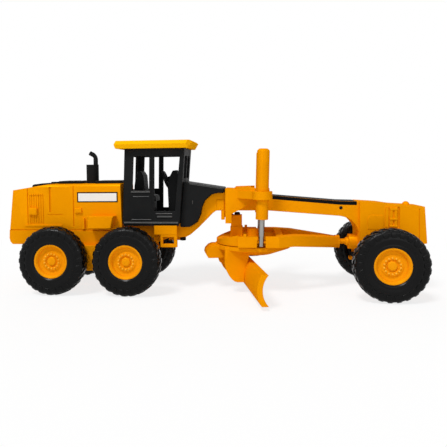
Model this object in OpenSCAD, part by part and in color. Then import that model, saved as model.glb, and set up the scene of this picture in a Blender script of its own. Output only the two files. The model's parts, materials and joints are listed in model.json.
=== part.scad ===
// Scale model of a motor grader, about 1:50, die-cast with plastic trim.
// Frame: +X forward, +Y left, +Z up, origin on the ground under the middle of the model. Millimetres.

/* [Wheels] */
// Outside diameter of a tyre, over its lugs
wheel_d = 28.7; // [27.6:0.1:29]
// Width of a tyre
tyre_w = 7.8; // [7.2:0.1:7.9]
// Outside diameter of a rim, where the tyre sits
rim_d = 14.2; // [13.4:0.1:15]
// Distance between the middle planes of the left and right rear wheels
rear_track = 38.4; // [38.4:0.1:40]
// Distance between the middle planes of the front wheels
front_track = 42.8; // [42.8:0.1:44]
// Diameter of the stub axles the wheels turn on
stub_d = 2.9; // [2.4:0.1:3.1]
// Height of a tread lug
lug_h = 0.9; // [0.6:0.1:1.3]

/* [Hood and cab] */
// Width of the engine hood
hood_w = 23.4; // [22.4:0.2:23.4]
// Width of the cab
cab_w = 23.4; // [22.4:0.2:24.4]
// Width of the roof
roof_w = 29; // [28:0.5:31]
// Thickness of the roof
roof_h = 3.3; // [2.8:0.1:4.1]
// Thickness of the cab's walls and posts
cab_wall = 1.5; // [1.2:0.1:1.8]
// Diameter of the muffler
muffler_d = 5.5; // [5:0.1:6]
// Diameter of the exhaust pipe
pipe_d = 1.9; // [1.6:0.1:2.2]

/* [Main beam] */
// Width of the main beam
beam_w = 12; // [11:0.2:12.4]
// Width of the front block
block_w = 15; // [14:0.5:16]
// Width of the cowl ahead of the cab
cowl_w = 18; // [16:0.5:19]

/* [Blade gear] */
// Length of the blade
blade_l = 77.8; // [72:0.2:80]
// Height of the blade
blade_h = 11.6; // [10.8:0.1:12]
// Thickness of the blade
blade_t = 2.1; // [1.8:0.1:2.3]
// Angle the circle and blade are parked at
blade_turn = 10.5; // [6:0.5:14]
// Diameter of the circle
circle_d = 32.6; // [31:0.2:33]
// Diameter of a lift cylinder's barrel
barrel_d = 5; // [4.6:0.1:5.2]
// Diameter of a lift cylinder's rod
rod_d = 2.4; // [2:0.1:2.6]
// Distance between the two lift cylinders
barrel_track = 32; // [31:0.5:33]

/* [Fits] */
// Radial clearance of a turning or sliding fit
run_clear = 0.06; // [0.03:0.01:0.09]
// Gap beside a moving face
side_gap = 0.35; // [0.25:0.05:0.4]
// Overlap of two pieces pressed together
press_lap = 0.03; // [0.01:0.01:0.05]

/* [Hidden] */

$fn = 48;
eps = 0.02;
paint = [0.90, 0.52, 0.02];
roof_paint = [0.98, 0.68, 0.04];
black = [0.06, 0.06, 0.065];
rubber = [0.05, 0.05, 0.052];
steel = [0.55, 0.56, 0.57];

// Places along the machine
front_axle_x = 70;
tandem_x = -49.8;
tandem_pitch = 31.6;
mid_x = tandem_x + tandem_pitch / 2;
rear_x = tandem_x - tandem_pitch / 2;
axle_z = wheel_d / 2;
rear_y = rear_track / 2;
front_y = front_track / 2;

// Rear frame and hood, side outlines in X and Z
frame_low = 20;
hood_low = 26.4;
hood_top = 46.1;
hood_rear = -88.2;
hood_front = -37.9;
frame_ledge = 0.4;
frame_front = -38.4;
rear_frame_outline = [[-87, frame_low], [-88, 21.1], [-88.4, 22.6], [hood_rear, hood_low],
  [frame_front, hood_low], [frame_front, frame_low]];
hood_outline = [[hood_rear, hood_low], [-86.4, 43.6], [-70.2, hood_top], [-38.4, hood_top],
  [hood_front, 27.9], [hood_front, hood_low]];
hood_edge_r = 1.4;
seam_d = 0.35;
seam_w = 0.45;

// Tandem cases
tandem_t = 3;
tandem_end_r = 5;
tandem_top = frame_low;
tandem_out = rear_y - tyre_w / 2 - side_gap;
tandem_in = tandem_out - tandem_t;
tandem_half = 7.8;

// Rims and tyres
rim_r = rim_d / 2;
rim_half = tyre_w / 2 - 0.7;
rim_wall = 1;
disc_out = 1.3;
disc_t = 1.3;
hub_r = 2.3;
hub_out = rim_half - 0.5;

// Cab and roof
cab_clear = 0.25;
cab_low = wheel_d + cab_clear;
cab_top = 60.9;
roof_top = cab_top + roof_h;
cab_rear = -37.5;
cab_lean = 1.3;
cab_front_low = -13.05;
cab_front_top = -10.5;
sill_z = 43.1;
door_sill_z = 34.3;
head_z = 57.7;
roof_rear = -40.2;
roof_front = -7.2;
roof_step = 1.5;
roof_outline_side = [[roof_rear + 0.5, cab_top], [roof_rear, roof_top - roof_step],
  [roof_rear + 0.8, roof_top], [roof_front - 0.9, roof_top], [roof_front, roof_top - roof_step / 2],
  [roof_front - 1.7, cab_top]];
roof_corner = 2.4;

// Cowl and main beam, side outlines
cowl_low = 27.3;
beam_top = 41.9;
beam_start = 5.6;
cowl_edge = [[-9.1, cowl_low], [-5.8, 29.5], [-4.4, 32.8], [-3.8, 35.8], [-2.5, 38.7], [0.3, 41.2],
  [2.8, 41.8], [beam_start, beam_top]];
cowl_top = [[beam_start, 43.8], [-11.4, 46.5], [cab_front_low, cab_low], [cab_front_low, cowl_low]];
neck_rear = -37.7;
block_back = 61.4;
block_low = 18.8;
block_top = 37.8;
neck_under = [[frame_front, frame_low], [-24.3, frame_low], [-18.3, 22.4], [-11, 22.7], [-9.1, 23.7],
  [-5.6, 26.7], [-2.2, 30.1], [0.5, 32.9], [2.1, 34.1], [23.9, 34.1], [53.6, 31.8], [55.4, 31.4],
  [58.1, 30.2], [60.3, 27.7], [block_back, 24.8]];
beam_over = [[block_back, block_top], [60.4, 37.8], [53.5, 38], [24.9, 40.5], [beam_start, beam_top]];
block_outline = [[block_back, block_low], [76.3, block_low], [87.8, 20.7], [86.8, 35.7], [75.7, 36.4],
  [70.7, 37.2], [block_back, block_top]];

// Front axle and steering
king_y = front_y - 7.9;
king_r = 1.2;
eye_r = 2.3;
eye_h = 5;
flange_t = 1.4;
yoke_gap = 0.2;
arm_len = 7;
tie_r = 0.7;
slot_clear = 0.22;

// Blade gear
ball_x = 58;
ball_z = 20.4;
ball_r = 1.9;
cap_r = 2.6;
cap_h = 3.4;
cup_r = 3.2;
circle_x = 17.4;
bar_low = 20;
bar_top = 24.4;
bar_deck = 22.4;
bar_drop = 2;
bar_bend_x = 34.4;
circle_top = bar_low - side_gap;
circle_low = 15.4;
circle_rim = 1.6;
rivet_r = 2;
rivet_head_r = 3.6;
rivet_head_h = 0.9;
arm_y = 10;
arm_w = 2.2;
arm_low = 4.7;
blade_low = 1.7;
blade_shift = 0.6;
blade_curve_r = 8.5;
blade_mid_z = blade_low + blade_h / 2;
blade_axis_x = 5.1;
blade_back = blade_axis_x - blade_curve_r - blade_t;
barrel_x = 21.5;
barrel_lean = 1.7;
barrel_pivot_z = 40.9;
barrel_y = barrel_track / 2;
barrel_low = 31.3;
barrel_top = 59.9;
barrel_r = barrel_d / 2;
rod_r = rod_d / 2;
rod_low = 20.4;
rod_in = 50;
rod_eye_z = 22;
rod_eye_x = barrel_x - (barrel_pivot_z - rod_eye_z) * tan(barrel_lean);
ring_r = 4;
ring_low = 39.4;
ring_top = 42.7;
tab_top = 44.1;
pin_r = 0.5;
pin_clear = 0.28;
notch_w = rod_d + 1.1;
notch_in = barrel_y - 2.6;
bar_half = barrel_y + 1.6;
bar_wall = 2.6;
bar_rear_r = 15.6;
bar_side_x = 11.6;
bar_end_x = 54;
post_half = 2.2;
saddle_t = 2;
post_top = 31.8;
slot_top = 38.4;
saddle_outline = [[6.1, 43.5], [18.3, 42.8], [18.3, 38.7], [13.8, 35.5], [8.7, 32.8], [8.7, 28.8],
  [6.1, 28.8]];

// Shared shapes

// A side outline in X and Z, made as thick as w in Y and centred
module across(w) {
  translate([0, w / 2, 0]) rotate([90, 0, 0]) linear_extrude(w) children();
}

// A wheel part turned about Y; the outer side is at +Y for side 1 and at -Y for side -1
module on_axle(x, y, side) {
  translate([x, side * y, axle_z]) rotate([-90 * side, 0, 0]) children();
}

module box(x0, x1, y0, y1, z0, z1) {
  translate([x0, y0, z0]) cube([x1 - x0, y1 - y0, z1 - z0]);
}

module mirror_y(side) {
  if (side > 0) children();
  else mirror([0, 1, 0]) children();
}

// Rear frame

module rear_frame() {
  color(paint) {
    difference() {
      across(hood_w + 2 * frame_ledge) polygon(rear_frame_outline);
      across(hood_w * 2) translate([hood_rear + 0.5, hood_low - seam_d]) square([60, 2 * seam_d]);
    }
    across(hood_w - 2 * seam_d) translate([hood_rear + 0.7, hood_low - seam_d])
      square([frame_front - hood_rear - 0.7, seam_d]);
  }
}

module rear_axle() {
  color(paint) {
    box(tandem_x - 4.5, tandem_x + 4.5, -7, 7, axle_z - 3.4, tandem_top);
    translate([tandem_x, -tandem_in, axle_z]) rotate([-90, 0, 0]) cylinder(r = 3.4, h = 2 * tandem_in);
  }
}

module tandem_case(side) {
  mirror_y(side) color(paint) {
    translate([0, tandem_out, 0]) rotate([90, 0, 0]) linear_extrude(tandem_t) {
      polygon([[rear_x, axle_z - tandem_end_r], [mid_x, axle_z - tandem_end_r],
        [mid_x, axle_z + tandem_end_r], [tandem_x + tandem_half, tandem_top],
        [tandem_x - tandem_half, tandem_top], [rear_x, axle_z + tandem_end_r]]);
      translate([rear_x, axle_z]) circle(r = tandem_end_r);
      translate([mid_x, axle_z]) circle(r = tandem_end_r);
    }
    for (x = [rear_x, mid_x])
      translate([x, tandem_out - eps, axle_z]) rotate([-90, 0, 0])
        cylinder(d = stub_d, h = rear_y - tandem_out + disc_out - 0.4);
  }
}
module tandem_case_left() { tandem_case(1); }
module tandem_case_right() { tandem_case(-1); }

// Hood

module hood_section() {
  translate([-hood_w / 2, hood_low]) square([hood_w, hood_top - hood_low - hood_edge_r]);
  translate([-hood_w / 2 + hood_edge_r, hood_low]) square([hood_w - 2 * hood_edge_r, hood_top - hood_low]);
  for (s = [-1, 1])
    translate([s * (hood_w / 2 - hood_edge_r), hood_top - hood_edge_r]) circle(r = hood_edge_r);
}

louvre_x = -78.9;
louvre_w = 6.3;
louvre_low = 28.9;
louvre_top = 41.6;
louvre_n = 6;
rear_seam_x = -80;
front_seam_x = -59.3;
side_seam_low = 27.8;
door_slot_x = -70;
door_slot_w = 0.9;
door_slot_low = 34.1;
door_slot_top = 44.9;
door_slot_d = 0.5;
foot_line = [-70.7, -64, 32.8, 33.1];
shallow = 0.25;
rear_latch = [-79.2, -75.4, 32.9, 35.9];
rear_latch_out = 0.9;
front_latch = [-58.4, -55.4, 33.6, 35.7];
front_latch_out = 0.7;
side_ledge = [-81.2, -64.4, 27.8, 28.5];
side_ledge_out = 0.35;
box_stand = [-55.2, -54.1, 26.8, 31.4];
box_stand_out = 1;

module hood_side_details() {
  y = hood_w / 2;
  for (x = [rear_seam_x, front_seam_x])
    box(x, x + seam_w, y - seam_d, y + 1, side_seam_low, hood_top + 1);
  box(louvre_x, louvre_x + louvre_w, y - shallow, y + 1, louvre_low, louvre_top);
  box(door_slot_x, door_slot_x + door_slot_w, y - door_slot_d, y + 1, door_slot_low, door_slot_top);
  box(foot_line[0], foot_line[1], y - shallow, y + 1, foot_line[2], foot_line[3]);
}

// A raised place on the hood's side: X from and to, Z from and to, and how far it stands out
module side_lump(place, out) {
  y = hood_w / 2;
  box(place[0], place[1], y - door_slot_d, y + out, place[2], place[3]);
}

module hood_side_raised() {
  y = hood_w / 2;
  pitch = louvre_w / louvre_n;
  for (i = [0:louvre_n - 1])
    box(louvre_x + (i + 0.3) * pitch, louvre_x + (i + 0.75) * pitch, y - 0.3, y,
      louvre_low + 0.4, louvre_top - 0.5);
  side_lump(rear_latch, rear_latch_out);
  side_lump(front_latch, front_latch_out);
  side_lump(side_ledge, side_ledge_out);
  side_lump(box_stand, box_stand_out);
}

module engine_hood() {
  color(paint) {
    difference() {
      intersection() {
        across(hood_w) polygon(hood_outline);
        translate([-95, 0, 0]) rotate([90, 0, 90]) linear_extrude(70) hood_section();
      }
      for (s = [-1, 1]) mirror_y(s) hood_side_details();
    }
    for (s = [-1, 1]) mirror_y(s) hood_side_raised();
  }
}

trim_h = 1.2;

module hood_trim() {
  color(black) difference() {
    union() {
      across(12) polygon([[-80.6, 43], [-80.2, 45.4], [-79.6, 45.9], [-75.3, 46.4], [-74.9, 43]]);
      translate([-71.2, 0, 45]) cylinder(r = 2.4, h = 1.9);
      box(-67.9, -61.4, -6, 6, hood_top, hood_top + trim_h);
      box(-60.3, -57.5, -6, 6, hood_top, hood_top + trim_h);
      box(-51.1, -39.6, -6.5, 6.5, hood_top, hood_top + trim_h);
    }
    across(hood_w) polygon(hood_outline);
  }
}

muffler_x = -54.1;
muffler_h = 8.4;
pipe_x = -52.6;
pipe_rise = 10.9;
pipe_bend_r = 2.2;
pipe_bend = 62;
pipe_end = 1.6;
pipe_sleeve = 0.12;
pipe_lap = 0.2;

module exhaust() {
  color(black) translate([0, 0, hood_top]) {
    translate([muffler_x, 0, 0]) cylinder(d = muffler_d, h = muffler_h);
    translate([pipe_x, 0, muffler_h - pipe_lap])
      cylinder(d = pipe_d + pipe_sleeve, h = pipe_rise - muffler_h + 2 * pipe_lap);
    translate([pipe_x - pipe_bend_r, 0, pipe_rise]) rotate([90, 0, 0]) {
      rotate_extrude(angle = pipe_bend) translate([pipe_bend_r, 0]) circle(d = pipe_d);
      rotate([0, 0, pipe_bend]) translate([pipe_bend_r, -pipe_lap, 0]) rotate([-90, 0, 0])
        cylinder(d = pipe_d + pipe_sleeve, h = pipe_end + pipe_lap);
    }
  }
}

box_out = 17;
box_rear = -51.3;
box_front = -40.4;
box_low = 27.4;
box_top = 32.4;

module side_box(side) {
  mirror_y(side) color(paint) translate([0, box_out, 0]) rotate([90, 0, 0])
    linear_extrude(box_out - hood_w / 2)
      polygon([[box_rear, box_low], [box_front - 0.9, box_low], [box_front, box_top], [box_rear, box_top]]);
}
module side_box_left() { side_box(1); }
module side_box_right() { side_box(-1); }

// Main beam and front end

module main_beam() {
  color(paint) difference() {
    across(beam_w) polygon(concat(neck_under, beam_over,
      [for (i = [len(cowl_edge) - 2:-1:0]) cowl_edge[i]],
      [[cab_front_low, cowl_low], [cab_front_low, cab_low], [neck_rear, cab_low], [neck_rear, hood_low],
      [frame_front, hood_low]]));
    box(5.2, 16.2, -post_half - side_gap, post_half + side_gap, 30, slot_top);
  }
}

rib_x = 71.5;
rib_low = 27.3;
rib_h = 8.2;
rib_pitch = 1.7;
rib_n = 3;
rib_r = 0.75;
knob_x = 81.5;

module front_block() {
  color(paint) {
    difference() {
      union() {
        across(block_w) polygon(block_outline);
        translate([ball_x, 0, ball_z]) rotate([0, 90, 0]) cylinder(r = cup_r, h = block_back - ball_x + eps);
      }
      translate([ball_x, 0, ball_z]) sphere(r = ball_r + run_clear);
      translate([ball_x - 4, 0, ball_z]) rotate([0, 90, 0]) cylinder(r = cup_r + 1, h = 3.4);
      for (s = [-1, 1]) mirror_y(s) {
        box(rib_x + rib_n * rib_pitch - 0.5, rib_x + rib_n * rib_pitch + 0.4, block_w / 2 - 0.4, block_w,
          rib_low - 0.3, rib_low + rib_h + 0.2);
        box(84.5, 84.85, block_w / 2 - 0.25, block_w, 20.9, 34.8);
      }
    }
    for (s = [-1, 1]) for (i = [0:rib_n - 1])
      translate([rib_x + (i + 0.3) * rib_pitch, s * (block_w / 2 - 0.2), rib_low])
        cylinder(r = rib_r, h = rib_h);
    translate([knob_x, 0, 36]) sphere(r = 1.5);
  }
}

module front_axle() {
  color(paint) difference() {
    union() {
      box(front_axle_x - 2.2, front_axle_x + 2.2, -king_y, king_y, axle_z - eye_h / 2, axle_z + eye_h / 2);
      box(front_axle_x - 3.5, front_axle_x + 3.5, -4.5, 4.5, axle_z, block_low);
      for (s = [-1, 1])
        translate([front_axle_x, s * king_y, axle_z - eye_h / 2]) cylinder(r = eye_r, h = eye_h);
    }
    for (s = [-1, 1])
      translate([front_axle_x, s * king_y, 0]) cylinder(r = king_r + run_clear, h = 40);
  }
}

module knuckle(side) {
  top = axle_z + eye_h / 2 + yoke_gap;
  low = axle_z - eye_h / 2 - yoke_gap;
  mirror_y(side) color(paint) translate([front_axle_x, king_y, 0]) {
    translate([0, 0, low - flange_t]) cylinder(r = king_r, h = top - low + 2 * flange_t);
    for (z = [top, low - flange_t]) {
      translate([0, 0, z]) cylinder(r = eye_r, h = flange_t);
      box(-1.8, 1.8, 0, eye_r + yoke_gap + 1, z, z + flange_t);
    }
    box(-1.8, 1.8, eye_r + yoke_gap, eye_r + yoke_gap + 1, low - flange_t, top + flange_t);
    translate([0, eye_r + yoke_gap, axle_z]) rotate([-90, 0, 0])
      cylinder(d = stub_d, h = front_y - king_y - eye_r - yoke_gap + disc_out - 0.4);
    difference() {
      translate([-arm_len - 2, -1.5, low - flange_t]) cube([arm_len + 2, 3, flange_t]);
      box(-arm_len - 0.6 - tie_r - slot_clear, -arm_len + tie_r + slot_clear, -tie_r - slot_clear,
        tie_r + slot_clear, low - flange_t - 1, low + 1);
    }
  }
}
module knuckle_left() { knuckle(1); }
module knuckle_right() { knuckle(-1); }

module tie_rod() {
  low = axle_z - eye_h / 2 - yoke_gap;
  color(black) {
    box(front_axle_x - arm_len - 1.1, front_axle_x - arm_len + 1.1, -king_y - 1.4, king_y + 1.4,
      low + yoke_gap, low + yoke_gap + 1.6);
    for (s = [-1, 1])
      translate([front_axle_x - arm_len, s * king_y, low - flange_t])
        cylinder(r = tie_r, h = flange_t + 2 * yoke_gap);
  }
}

module cowl() {
  color(black) across(cowl_w) polygon(concat(cowl_edge, cowl_top));
}

// Cab

module cab_body_outline() {
  polygon([[cab_rear, cab_low], [cab_rear + cab_lean, cab_top], [cab_front_top, cab_top],
    [cab_front_low, cab_low]]);
}

screen_post = 3.4;
pane_half = cab_w / 2 - screen_post;
screen_z = 48;
post_w = 1.8;

module cab_shell() {
  inner = cab_w - 2 * cab_wall;
  color(black) difference() {
    across(cab_w) cab_body_outline();
    across(inner) polygon([[cab_rear + cab_wall, cab_low + cab_wall],
      [cab_rear + cab_lean + cab_wall, cab_top - cab_wall], [cab_front_top - cab_wall, cab_top - cab_wall],
      [cab_front_low - cab_wall, cab_low + cab_wall]]);
    across(cab_w + 2) polygon([[-33.2, sill_z], [-32.5, head_z], [-25.6, head_z], [-25.9, sill_z]]);
    across(cab_w + 2) polygon([[-23.9, door_sill_z], [-23.5, head_z], [-12.6, head_z], [-14.9, door_sill_z]]);
    box(cab_rear - 2, cab_rear + 3.6, -inner / 2 + 1, inner / 2 - 1, sill_z, head_z);
    for (s = [-1, 1]) mirror_y(s)
      box(cab_front_low - 3, cab_front_top + 2, post_w / 2, pane_half, screen_z, head_z);
  }
}

module cab_roof() {
  color(roof_paint) intersection() {
    across(roof_w) polygon(roof_outline_side);
    translate([0, 0, cab_top - 1]) linear_extrude(10) {
      polygon([[roof_rear - 2, -roof_w / 2], [roof_rear - 2, roof_w / 2],
        [roof_front - roof_corner, roof_w / 2], [roof_front, roof_w / 2 - roof_corner],
        [roof_front, -roof_w / 2 + roof_corner], [roof_front - roof_corner, -roof_w / 2]]);
    }
    translate([-60, 0, 0]) rotate([90, 0, 90]) linear_extrude(80)
      polygon([[-roof_w / 2 + 0.6, cab_top - 1], [-roof_w / 2 + 0.6, cab_top],
        [-roof_w / 2, roof_top - roof_step], [-roof_w / 2 + 0.7, roof_top], [roof_w / 2 - 0.7, roof_top],
        [roof_w / 2, roof_top - roof_step], [roof_w / 2 - 0.6, cab_top], [roof_w / 2 - 0.6, cab_top - 1]]);
  }
}

seat_low = 38;

module seat() {
  color(black) {
    box(-32.5, -25.6, -4, 4, cab_low + cab_wall, seat_low);
    across(9) polygon([[-34.1, seat_low], [-33.9, 44.9], [-33.2, 49.2], [-32.4, 51], [-31, 51.2],
      [-29.8, 49.3], [-29.2, 41.1], [-24.6, 40.6], [-24.2, seat_low]]);
  }
}

wheel_x = -20.5;
wheel_z = 47.5;
wheel_tilt = 72;

module console() {
  color(black) {
    across(5) polygon([[-19, cab_low + cab_wall], [-19.4, 43.7], [-18.9, 48.1], [-17.1, 51.4],
      [-15.5, 51.6], [-14.7, 49.7], [-15.8, cab_low + cab_wall]]);
    translate([wheel_x, 0, wheel_z]) rotate([0, wheel_tilt, 0]) {
      rotate_extrude() translate([3.5, 0]) circle(r = 0.5);
      translate([-3.5, -0.5, -0.35]) cube([7, 1, 0.7]);
      cylinder(r = 0.9, h = 2.4);
    }
  }
}

step_x0 = -23.9;
step_x1 = -14.2;
step_z = 24.4;
step_low = 19;
step_out = cab_w / 2;

module steps(side) {
  mirror_y(side) color(paint) difference() {
    union() {
      box(step_x0, step_x1, step_out - 2.2, step_out, step_z, cab_low);
      box(step_x0 + 2.6, step_x1, step_out - 1.8, step_out - 0.2, step_low, step_z + 0.2);
    }
    box(step_x0 + 3.6, step_x1 - 1.3, step_out - 8, step_out + 2, step_low + 1.4, step_z - 1);
  }
}
module steps_left() { steps(1); }
module steps_right() { steps(-1); }

// Saddle and lift cylinders

module saddle() {
  color(paint) difference() {
    union() {
      across(beam_w + 2 * saddle_t) polygon(saddle_outline);
      for (s = [-1, 1]) mirror_y(s) {
        translate([0, 0, ring_low]) linear_extrude(ring_top - ring_low)
          polygon([[9.5, beam_w / 2 + 0.5], [18.4, beam_w / 2 + 0.5], [barrel_x + 2.5, barrel_y - 3],
            [barrel_x, barrel_y], [barrel_x - 3, barrel_y - 1]]);
        translate([0, 0, ring_low]) linear_extrude(tab_top - ring_low)
          polygon([[10, beam_w / 2 + 0.5], [16.8, beam_w / 2 + 0.5], [18.6, barrel_y - 3.6],
            [16.4, barrel_y - 4]]);
        translate([barrel_x, barrel_y, ring_low]) cylinder(r = ring_r, h = ring_top - ring_low);
      }
    }
    across(beam_w) polygon(concat([[-5, 20], [block_back, 20]], beam_over, [[-5, beam_top]]));
    for (s = [-1, 1]) leaning(s) translate([0, 0, -20]) cylinder(r = barrel_r - press_lap, h = 60);
  }
}

// Along a lift cylinder, with its middle in the saddle's ring as origin
module leaning(side) {
  translate([barrel_x, side * barrel_y, barrel_pivot_z]) rotate([0, barrel_lean, 0]) children();
}

module lift_barrel(side) {
  long = barrel_top - barrel_low;
  color(paint) leaning(side) translate([0, 0, barrel_low - barrel_pivot_z]) difference() {
    union() {
      cylinder(r = barrel_r, h = long - 0.8);
      translate([0, 0, long - 0.8]) cylinder(r1 = barrel_r, r2 = barrel_r - 0.8, h = 0.8);
    }
    translate([0, 0, -1]) cylinder(r = rod_r + run_clear, h = 26);
  }
}
module lift_barrel_left() { lift_barrel(1); }
module lift_barrel_right() { lift_barrel(-1); }

module lift_rod(side) {
  color(steel) leaning(side) difference() {
    translate([0, 0, rod_low - barrel_pivot_z]) cylinder(r = rod_r, h = rod_in - rod_low);
    translate([-5, 0, (rod_eye_z - barrel_pivot_z) / cos(barrel_lean)]) rotate([0, 90, 0])
      cylinder(r = pin_r + pin_clear, h = 10);
  }
}
module lift_rod_left() { lift_rod(1); }
module lift_rod_right() { lift_rod(-1); }

// Drawbar, circle and blade

module drawbar_plan() {
  polygon([[bar_end_x, -2.4], [bar_end_x, 2.4], [28, bar_half], [bar_side_x, bar_half],
    [bar_side_x, -bar_half], [28, -bar_half]]);
  intersection() {
    translate([circle_x, 0]) circle(r = bar_rear_r);
    translate([circle_x - 20, -20]) square([20, 40]);
  }
}

// Side outline: level over the circle, falling towards the ball in front
module drawbar_side() {
  polygon([[-5, bar_low], [bar_bend_x, bar_low], [bar_end_x, bar_low - bar_drop],
    [bar_end_x, bar_top - bar_drop], [bar_bend_x, bar_top], [-5, bar_top]]);
}

module drawbar() {
  color(paint) {
    difference() {
      union() {
        intersection() {
          translate([0, 0, bar_low - bar_drop]) linear_extrude(bar_top - bar_low + bar_drop) drawbar_plan();
          across(3 * bar_half) drawbar_side();
        }
        translate([52.4, 0, ball_z]) rotate([0, 90, 0]) cylinder(r = 2.7, h = 1.8);
      }
      translate([0, 0, bar_deck]) linear_extrude(10) {
        polygon([[27, -bar_half + bar_wall], [27, bar_half - bar_wall], [bar_side_x, bar_half - bar_wall],
          [bar_side_x, -bar_half + bar_wall]]);
        intersection() {
          translate([circle_x, 0]) circle(r = bar_rear_r - 1.2);
          translate([circle_x - 20, -20]) square([20, 40]);
        }
      }
      translate([0, 0, bar_low - bar_drop - 1]) linear_extrude(bar_top)
        polygon([[47, 0], [30, 7.2 - bar_half], [30, bar_half - 7.2]]);
      across(3 * bar_half) polygon([[-5, bar_deck - 0.8], [2, bar_deck - 0.6], [bar_side_x - 0.4, bar_top],
        [-5, bar_top + 1]]);
      for (s = [-1, 1]) mirror_y(s)
        box(rod_eye_x - notch_w / 2, rod_eye_x + notch_w / 2, notch_in, bar_half + 1, bar_low - 1,
          bar_top + 1);
    }
    for (s = [-1, 1])
      translate([rod_eye_x - notch_w, s * barrel_y, rod_eye_z]) rotate([0, 90, 0])
        cylinder(r = pin_r, h = 2 * notch_w);
    translate([53, 0, ball_z]) rotate([0, 90, 0]) cylinder(r = 1.1, h = ball_x - 53);
    translate([ball_x, 0, ball_z]) sphere(r = ball_r);
    translate([circle_x, 0, bar_deck]) cylinder(r = cap_r, h = cap_h);
    box(8.2, 12.9, -post_half, post_half, bar_deck - eps, post_top);
    for (s = [-1, 1]) mirror_y(s) box(13.8, 15, bar_half - 2, bar_half, bar_low, 25.4);
  }
}

module circle_rivet() {
  color(steel) {
    translate([circle_x, 0, circle_low - side_gap]) cylinder(r = rivet_r, h = bar_low - circle_low + side_gap);
    translate([circle_x, 0, circle_low - side_gap - rivet_head_h]) cylinder(r = rivet_head_r, h = rivet_head_h);
  }
}

// The circle and the blade are drawn square to the machine and turned together
module turned() {
  translate([circle_x, 0, 0]) rotate([0, 0, blade_turn]) children();
}

module arm_outline() {
  top = circle_top - 0.4;
  polygon([[-13.4, top], [-13.6, 12.4], [-12.9, 9.6], [-11.7, 7.3], [-10.7, 6], [-9.6, 5.1], [-8.4, arm_low],
    [blade_back + press_lap, arm_low], [blade_back + press_lap, blade_mid_z + 1],
    [blade_back + 1.3, blade_mid_z + 5], [blade_back + 2.8, top]]);
}

lump_in = -11;
lump_out = -20.8;
lump_half = 5;
lump_low = 14;
lump_top = 19.4;

module turn_circle() {
  color(paint) turned() {
    rotate_extrude($fn = 96)
      polygon([[rivet_r + run_clear, circle_low], [9, circle_low], [circle_d / 2, circle_top - circle_rim],
        [circle_d / 2, circle_top], [rivet_r + run_clear, circle_top]]);
    for (s = [-1, 1]) translate([0, s * arm_y + arm_w / 2, 0]) rotate([90, 0, 0]) linear_extrude(arm_w)
      arm_outline();
    across(2 * lump_half) polygon([[lump_in, circle_low], [lump_in - 2, lump_low], [lump_out + 1, lump_low],
      [lump_out, lump_low + 1.6], [lump_out + 0.3, lump_low + 3.2], [lump_out + 1.8, lump_top - 0.6],
      [lump_out + 3.4, lump_top], [lump_in, lump_top]]);
    across(3) polygon([[-15.6, circle_low], [-14.6, 11.6], [-12.6, 10.6], [-11.5, 11], [-11.5, circle_low]]);
  }
}

module blade() {
  color(paint) turned() translate([0, blade_shift, 0]) intersection() {
    across(blade_l) difference() {
      translate([blade_axis_x, blade_mid_z]) circle(r = blade_curve_r + blade_t, $fn = 96);
      translate([blade_axis_x, blade_mid_z]) circle(r = blade_curve_r, $fn = 96);
    }
    box(blade_axis_x - 30, blade_axis_x, -blade_l, blade_l, blade_low, blade_low + blade_h);
  }
}

// Wheels

lug_n = 26;
lug_w = 1.7;
lug_slant = 2;
lug_reach = (lug_w + lug_slant) / 2;
lug_start = asin(2 * lug_reach / wheel_d);

// One bar of the tread, from the tyre's middle to its edge, standing out from the axle along X
module lug() {
  out = sqrt(pow(wheel_d / 2, 2) - pow(lug_reach, 2));
  foot = wheel_d / 2 - lug_h - 0.9;
  translate([foot, 0, 0]) rotate([90, 0, 90]) linear_extrude(out - foot)
    polygon([[-lug_reach, 0.2], [lug_w - lug_reach, 0.2], [lug_reach, tyre_w / 2 - 0.05],
      [lug_reach - lug_w, tyre_w / 2 - 0.05]]);
}

module tyre() {
  h = tyre_w / 2;
  r = wheel_d / 2 - lug_h;
  color(rubber) {
    rotate_extrude($fn = 96)
      polygon([[rim_r - press_lap, -rim_half], [rim_r + 1.1, -h + 0.3], [rim_r + 3.2, -h],
        [r - 0.8, -h + 0.3], [r, -h + 1.3], [r, h - 1.3], [r - 0.8, h - 0.3], [rim_r + 3.2, h],
        [rim_r + 1.1, h - 0.3], [rim_r - press_lap, rim_half]]);
    for (i = [0:lug_n - 1]) {
      rotate([0, 0, lug_start + i * 360 / lug_n]) lug();
      rotate([0, 0, lug_start + (i + 0.5) * 360 / lug_n]) mirror([0, 0, 1]) lug();
    }
  }
}

module rim() {
  color(paint) difference() {
    rotate_extrude($fn = 72)
      polygon([[0, -rim_half - 0.4], [hub_r + 0.3, -rim_half - 0.4], [hub_r + 0.3, disc_out - disc_t],
        [rim_r - rim_wall, disc_out - disc_t], [rim_r - rim_wall, -rim_half], [rim_r, -rim_half],
        [rim_r, rim_half], [rim_r - rim_wall, rim_half], [rim_r - rim_wall - 0.4, disc_out],
        [hub_r, disc_out], [hub_r - 0.3, hub_out], [0, hub_out]]);
    translate([0, 0, -rim_half - 1]) cylinder(d = stub_d + 2 * run_clear, h = rim_half + 1 + disc_out - 0.1);
  }
}

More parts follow.
